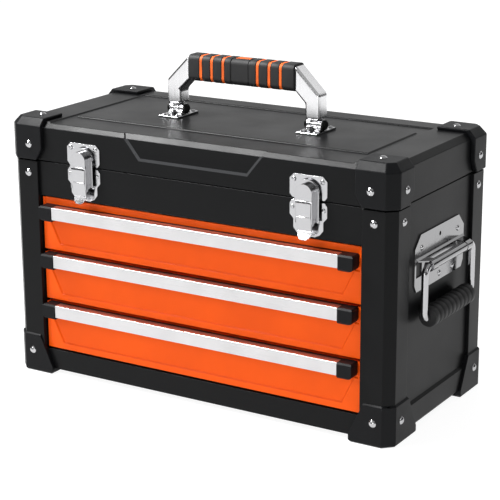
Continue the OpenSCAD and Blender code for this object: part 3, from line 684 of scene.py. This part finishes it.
def merged_copy(node, name):
    """A copy of a CAD node with its loose triangles joined, left open in edit mode."""
    piece = bpy.data.objects.new(name, frame["nodes"][node].data.copy())
    bpy.context.scene.collection.objects.link(piece)
    only(piece)
    bpy.ops.object.mode_set(mode="EDIT")
    bpy.ops.mesh.select_all(action="SELECT")
    bpy.ops.mesh.remove_doubles(threshold=MERGE_DISTANCE)
    return piece


def select_faces(wanted):
    """Selects the faces of the mesh in edit mode that the test accepts."""
    mesh = bmesh.from_edit_mesh(bpy.context.object.data)
    for face in mesh.faces:
        face.select_set(False)
    for face in mesh.faces:
        if wanted(face):
            face.select_set(True)
    mesh.select_flush_mode()
    bmesh.update_edit_mesh(bpy.context.object.data)
    return any(face.select for face in mesh.faces)


def sink(direction, rim, depth, least_area, within):
    """Sinks the outer flat faces that look one way, and leaves a rim around them."""
    direction = Vector(direction)
    mesh = bmesh.from_edit_mesh(bpy.context.object.data)
    outermost = max(corner.co.dot(direction) for corner in mesh.verts)
    big = select_faces(
        lambda face: face.normal.dot(direction) > FACING
        and face.calc_area() > least_area
        and face.calc_center_median().dot(direction) > outermost - within
    )
    if big:
        bpy.ops.mesh.inset(thickness=rim, use_even_offset=False)
        bpy.ops.transform.translate(value=-depth * direction)


def round_edges(piece, radius, segments, angle, least):
    """Rounds the edges that are sharper than the angle and longer than the least length."""
    shape = bmesh.new()
    shape.from_mesh(piece.data)
    weights = shape.edges.layers.float.get("bevel_weight_edge")
    if weights is None:
        weights = shape.edges.layers.float.new("bevel_weight_edge")
    for edge in shape.edges:
        edge[weights] = fold_weight(edge, radius, math.radians(angle), least)
    shape.to_mesh(piece.data)
    shape.free()
    bevel = piece.modifiers.new("Rounded edges", "BEVEL")
    bevel.limit_method = "WEIGHT"
    bevel.width = radius
    bevel.segments = segments
    bevel.use_clamp_overlap = least < MM
    bpy.ops.object.modifier_apply(modifier=bevel.name)


def soften(node, radius, segments=2, angle=25.0, smooth=32.0, carve=None, least=SHORTEST_EDGE):
    """A copy of a CAD node with its straight edges rounded, which stands in for the node."""
    piece = merged_copy(node, f"{node}_finished")
    bpy.ops.mesh.dissolve_limited(angle_limit=math.radians(FLAT_ANGLE))
    if carve:
        carve()
    bpy.ops.object.mode_set(mode="OBJECT")
    if radius > 0:
        round_edges(piece, radius, segments, angle, least)
    bpy.ops.object.shade_smooth_by_angle(angle=math.radians(smooth))
    weighted = piece.modifiers.new("Flat faces stay flat", "WEIGHTED_NORMAL")
    weighted.keep_sharp = True
    bpy.ops.object.modifier_apply(modifier=weighted.name)
    settle(piece, body_of(node), slot_of(node))
    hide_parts(node)
    return piece


def settle(piece, body, slot):
    """Gives a finished piece its material, its slot and the body it moves with."""
    piece.data.materials.clear()
    piece.data.materials.append(finish_for(slot))
    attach(piece, body)


# ---- pieces


class CHEST_OT_cabinet(bpy.types.Operator):
    """Round the folded edges of the cabinet, posts and inner walls and paint them"""

    bl_idname = "chest.cabinet"
    bl_label = "Cabinet"

    def execute(self, context):
        fold = sheet_metal().fold_radius
        cut = sheet_metal().cut_radius
        soften("wrapper", fold, segments=3)
        soften("back_panel", cut)
        soften("front_frame", cut)
        soften("tray_floor", cut)
        for corner in CORNERS:
            soften(f"post_{corner}", POST_SHARE * fold, segments=3)
        for side in SIDES:
            soften(f"inner_wall_{side}", cut)
            soften(f"slide_rails_{side}", cut)
        soften("hinge_leaf_lower", cut)
        return {"FINISHED"}


class CHEST_OT_lid(bpy.types.Operator):
    """Round the pressed edges of the lid and paint it, with a painted highlight on the folds
    of its pressed field
    """

    bl_idname = "chest.lid"
    bl_label = "Lid"

    def execute(self, context):
        fold = LID_SHARE * sheet_metal().fold_radius
        shell = soften("lid_shell", fold, segments=3, angle=30.0, smooth=20.0)
        # painted highlight: the folds of the front field get the lighter coat
        self.paint_fold_highlight(shell)
        soften("hinge_leaf_upper", sheet_metal().cut_radius)
        return {"FINISHED"}

    def paint_fold_highlight(self, shell):
        """The sloping folds of the pressed front field get a lighter coat, a painted highlight
        in place of light on the folds.
        """
        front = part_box("lid_shell")[0].y
        shell.data.materials.append(finish_for("painted_highlight_black"))
        for face in shell.data.polygons:
            forward = FOLD_FORWARD[0] < -face.normal.y < FOLD_FORWARD[1]
            upward = FOLD_UPWARD[0] < face.normal.z < FOLD_UPWARD[1]
            if face.center.y < front + FOLD_REACH and forward and upward:
                face.material_index = 1


class CHEST_OT_corners(bpy.types.Operator):
    """Round the moulded corner caps and feet"""

    bl_idname = "chest.corners"
    bl_label = "Corners"

    def execute(self, context):
        for corner in CORNERS:
            soften(f"lid_cap_{corner}", trim().corner_radius, segments=3)
            soften(f"foot_{corner}", trim().corner_radius, segments=3)
        return {"FINISHED"}


class CHEST_OT_drawers(bpy.types.Operator):
    """Finish the drawer fronts, trays, slides and pulls"""

    bl_idname = "chest.drawers"
    bl_label = "Drawers"

    def execute(self, context):
        fold = DRAWER_SHARE * sheet_metal().fold_radius
        cut = sheet_metal().cut_radius
        for drawer in DRAWERS:
            soften(f"drawer_front_{drawer}", fold, segments=3)
            soften(f"drawer_tray_{drawer}", cut)
            soften(f"drawer_pull_{drawer}", trim().pull_radius, segments=3)
            soften(f"pull_caps_{drawer}", PULL_CAP_SHARE * trim().corner_radius, segments=3)
            soften(f"ball_cages_{drawer}", 0)
        return {"FINISHED"}


class CHEST_OT_latches(bpy.types.Operator):
    """Finish the draw latches: strikes, bases, levers and hooks, and the beads across them"""

    bl_idname = "chest.latches"
    bl_label = "Latches"

    def execute(self, context):
        for side in SIDES:
            lever, hook = f"latch_lever_{side}", f"latch_hook_{side}"
            soften(f"strike_{side}", plating().pressed_radius, segments=3)
            soften(f"latch_base_{side}", plating().pressed_radius, segments=3)
            soften(lever, plating().lever_radius, segments=3, carve=self.press_lever)
            soften(hook, plating().lever_radius, segments=3, carve=self.press_hook)
            low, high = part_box(f"latch_lever_{side}")
            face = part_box(f"latch_hook_{side}")[0].y + BEAD_SET_BACK
            middle = 0.5 * (low.x + high.x)
            self.bead(f"lever_bead_{side}", lever, (middle, face, high.z - LEVER_BEAD_DROP))
            self.bead(f"hook_bead_{side}", hook, (middle, face, high.z + HOOK_BEAD_RISE))
        return {"FINISHED"}

    def press_lever(self):
        """The sunk face of a lever, and its hollow sides."""
        self.press(plating().lever_rim, plating().side_depth)

    def press_hook(self):
        """The sunk face of a hook, and its shallow sides."""
        self.press(plating().hook_rim, plating().face_depth)

    def press(self, rim, side_depth):
        metal = plating()
        sink((0, -1, 0), rim, metal.face_depth, LEAST_FACE_AREA, FACE_REACH)
        for side in (-1, 1):
            sink((side, 0, 0), metal.side_rim, side_depth, LEAST_SIDE_AREA, SIDE_REACH)

    def bead(self, name, carrier, middle):
        """A rounded rib pressed across the face of a lever or hook."""
        bpy.ops.object.select_all(action="DESELECT")
        bpy.ops.mesh.primitive_cube_add(size=1.0, location=middle)
        rib = bpy.context.object
        rib.name = name
        rib.scale = (plating().bead_length, plating().bead_size, plating().bead_size)
        bpy.ops.object.transform_apply(location=True, rotation=False, scale=True)
        bpy.ops.object.mode_set(mode="EDIT")
        bpy.ops.mesh.select_all(action="SELECT")
        bpy.ops.mesh.bevel(
            offset=BEAD_ROUNDING, offset_type="OFFSET", segments=4, affect="EDGES"
        )
        bpy.ops.object.mode_set(mode="OBJECT")
        bpy.ops.object.shade_smooth_by_angle(angle=math.radians(ROUND_SMOOTH))
        settle(rib, body_of(carrier), "chrome")


class CHEST_OT_carry_handle(bpy.types.Operator):
    """Finish the carry handle: frame, grip with its rings and raised blocks, and brackets"""

    bl_idname = "chest.carry_handle"
    bl_label = "Carry handle"

    def execute(self, context):
        soften("handle_frame", trim().frame_radius, segments=4, least=SHORTEST_ARM_EDGE)
        soften("handle_grip", GRIP_ROUNDING)
        soften("grip_rings", 0)
        soften("handle_pivots", GRIP_ROUNDING)
        for side in SIDES:
            soften(f"handle_bracket_{side}", plating().pressed_radius, segments=3)
        self.raise_blocks()
        return {"FINISHED"}

    def spans(self, end):
        """Where the blocks of one half of the grip start and stop, from its middle."""
        start = PAD_HALF + BLOCK_GAP
        for ring in RING_PLACES:
            yield start, ring - RING_HALF - BLOCK_GAP
            start = ring + RING_HALF + BLOCK_GAP
        yield start, end - BLOCK_END

    def raise_blocks(self):
        """Raised rubber blocks between the rings, cut from copies of the grip."""
        low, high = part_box("handle_grip")
        centre = 0.5 * (low + high)
        rise = 2.0 * trim().block_rise
        swell = (1.0, 1.0 + rise / (high.y - low.y), 1.0 + rise / (high.z - low.z))
        blocks = []
        for side in (-1, 1):
            for start, stop in self.spans(high.x - centre.x):
                block = merged_copy("handle_grip", "grip_block")
                for place, keep in ((start, -1), (stop, 1)):
                    bpy.ops.mesh.select_all(action="SELECT")
                    bpy.ops.mesh.bisect(
                        plane_co=(centre.x + side * place, 0.0, centre.z),
                        plane_no=(side * keep, 0.0, 0.0),
                        use_fill=True,
                        clear_outer=True,
                    )
                bpy.ops.mesh.select_all(action="SELECT")
                bpy.ops.transform.resize(value=swell, center_override=centre)
                bpy.ops.object.mode_set(mode="OBJECT")
                blocks.append(block)
        only(blocks[0])
        for block in blocks:
            block.select_set(True)
        bpy.ops.object.join()
        raised = bpy.context.object
        raised.name = "grip_blocks"
        edges = raised.modifiers.new("Rounded edges", "BEVEL")
        edges.limit_method = "ANGLE"
        edges.angle_limit = math.radians(BLOCK_EDGE_ANGLE)
        edges.width = BLOCK_ROUNDING
        edges.segments = 3
        bpy.ops.object.modifier_apply(modifier=edges.name)
        bpy.ops.object.shade_smooth_by_angle(angle=math.radians(ROUND_SMOOTH))
        settle(raised, body_of("handle_grip"), "grip_rubber")


class CHEST_OT_end_handles(bpy.types.Operator):
    """Finish the bail handles on the ends of the cabinet"""

    bl_idname = "chest.end_handles"
    bl_label = "End handles"

    def execute(self, context):
        for side in SIDES:
            plate = soften(f"end_plate_{side}", sheet_metal().cut_radius)
            plate.data.materials[0] = finish_for("plate_chrome")
            soften(f"end_bail_{side}", 0)
            soften(f"end_grip_{side}", 0, smooth=RIB_SMOOTH)
        return {"FINISHED"}


class CHEST_OT_fasteners(bpy.types.Operator):
    """Finish the rivets of the cabinet and the lid"""

    bl_idname = "chest.fasteners"
    bl_label = "Rivets"

    def execute(self, context):
        soften("cabinet_rivets", 0, smooth=ROUND_SMOOTH)
        soften("lid_rivets", 0, smooth=ROUND_SMOOTH)
        return {"FINISHED"}


# ---- studio


def area_light(name, place, size, power):
    """A softbox or card that faces the chest."""
    data = bpy.data.lights.new(name, "AREA")
    data.shape = "RECTANGLE"
    data.size, data.size_y = size
    data.energy = power
    lamp = bpy.data.objects.new(name, data)
    bpy.context.scene.collection.objects.link(lamp)
    lamp.location = place
    towards = Vector(LIGHT_AIM) - Vector(place)
    lamp.rotation_euler = towards.to_track_quat("-Z", "Y").to_euler()


class CHEST_OT_stage(bpy.types.Operator):
    """Set up the camera, the pale floor and the soft light"""

    bl_idname = "chest.stage"
    bl_label = "Studio"

    def execute(self, context):
        self.place_camera(context)
        self.lay_floor()
        self.light_room(context)
        return {"FINISHED"}

    def place_camera(self, context):
        settings = studio()
        data = bpy.data.cameras.new("Studio camera")
        data.lens = settings.lens
        data.sensor_width = SENSOR_WIDTH
        data.clip_end = FAR_CLIP
        camera = bpy.data.objects.new("Studio camera", data)
        context.scene.collection.objects.link(camera)
        context.scene.camera = camera
        turn, lift, roll = settings.azimuth, settings.elevation, settings.roll
        aim = Vector(CAMERA_AIM)
        level = math.cos(lift)
        back = Vector((math.sin(turn) * level, -math.cos(turn) * level, math.sin(lift)))
        right = Vector((0.0, 0.0, 1.0)).cross(back).normalized()
        up = back.cross(right)
        right, up = (
            right * math.cos(roll) + up * math.sin(roll),
            up * math.cos(roll) - right * math.sin(roll),
        )
        turned = Matrix((right, up, back)).transposed().to_4x4()
        camera.matrix_world = Matrix.Translation(aim + back * settings.distance) @ turned

    def lay_floor(self):
        bpy.ops.object.select_all(action="DESELECT")
        bpy.ops.mesh.primitive_plane_add(size=FLOOR_SPAN, location=(0.0, 0.0, 0.0))
        floor = bpy.context.object
        floor.name = "studio_floor"
        pale = (0.2, 0.2, 0.2)
        material, tree, shader = start_finish("Pale light table", pale, PAINTED, roughness=0.7)
        shader.inputs["Emission Color"].default_value = (1.0, 1.0, 1.0, 1.0)
        shader.inputs["Emission Strength"].default_value = studio().table_light
        place = place_on_piece(tree)
        cloud = speckle(tree, place, cells=2.0)
        tint = blend_colours(tree, cloud, shade(pale, 0.95), shade(pale, 1.05))
        tree.links.new(tint, shader.inputs["Base Color"])
        floor.data.materials.append(material)

    def light_room(self, context):
        settings = studio()
        world = bpy.data.worlds.new("Studio walls")
        context.scene.world = world
        world.use_nodes = True
        walls = world.node_tree.nodes["Background"]
        walls.inputs["Color"].default_value = (1.0, 1.0, 1.0, 1.0)
        walls.inputs["Strength"].default_value = settings.room_light
        for name, place, size, share in SOFTBOXES:
            area_light(name, place, size, share * settings.key_light)
        sky = bpy.data.lights.new("Ceiling", "SUN")
        sky.energy = settings.ceiling_light
        sky.angle = math.radians(CEILING_SPREAD)
        ceiling = bpy.data.objects.new("Ceiling", sky)
        context.scene.collection.objects.link(ceiling)
        context.scene.view_settings.view_transform = "Standard"


SETTINGS = {
    "chest_sheet_metal": SheetMetalSettings,
    "chest_trim": TrimSettings,
    "chest_plating": PlatingSettings,
    "chest_studio": StudioSettings,
}

OPERATORS = (
    CHEST_OT_stage,
    CHEST_OT_cabinet,
    CHEST_OT_lid,
    CHEST_OT_corners,
    CHEST_OT_drawers,
    CHEST_OT_latches,
    CHEST_OT_carry_handle,
    CHEST_OT_end_handles,
    CHEST_OT_fasteners,
)


class CHEST_PT_sidebar(bpy.types.Panel):
    """Settings and steps of the tool chest"""

    bl_label = "Tool chest"
    bl_idname = "CHEST_PT_sidebar"
    bl_space_type = "VIEW_3D"
    bl_region_type = "UI"
    bl_category = "Tool chest"

    def draw(self, context):
        for place, group in SETTINGS.items():
            box = self.layout.box()
            for name in group.__annotations__:
                box.prop(getattr(context.scene, place), name)
        for step in OPERATORS:
            self.layout.operator(step.bl_idname)


def register():
    for place, group in SETTINGS.items():
        bpy.utils.register_class(group)
        setattr(bpy.types.Scene, place, PointerProperty(type=group))
    for step in OPERATORS:
        bpy.utils.register_class(step)
    bpy.utils.register_class(CHEST_PT_sidebar)


def unregister():
    bpy.utils.unregister_class(CHEST_PT_sidebar)
    for step in reversed(OPERATORS):
        bpy.utils.unregister_class(step)
    for place, group in reversed(SETTINGS.items()):
        delattr(bpy.types.Scene, place)
        bpy.utils.unregister_class(group)


def main():
    register()
    bpy.ops.chest.stage()
    bpy.ops.chest.cabinet()
    bpy.ops.chest.lid()
    bpy.ops.chest.corners()
    bpy.ops.chest.drawers()
    bpy.ops.chest.latches()
    bpy.ops.chest.carry_handle()
    bpy.ops.chest.end_handles()
    bpy.ops.chest.fasteners()


if __name__ == "__main__":
    main()
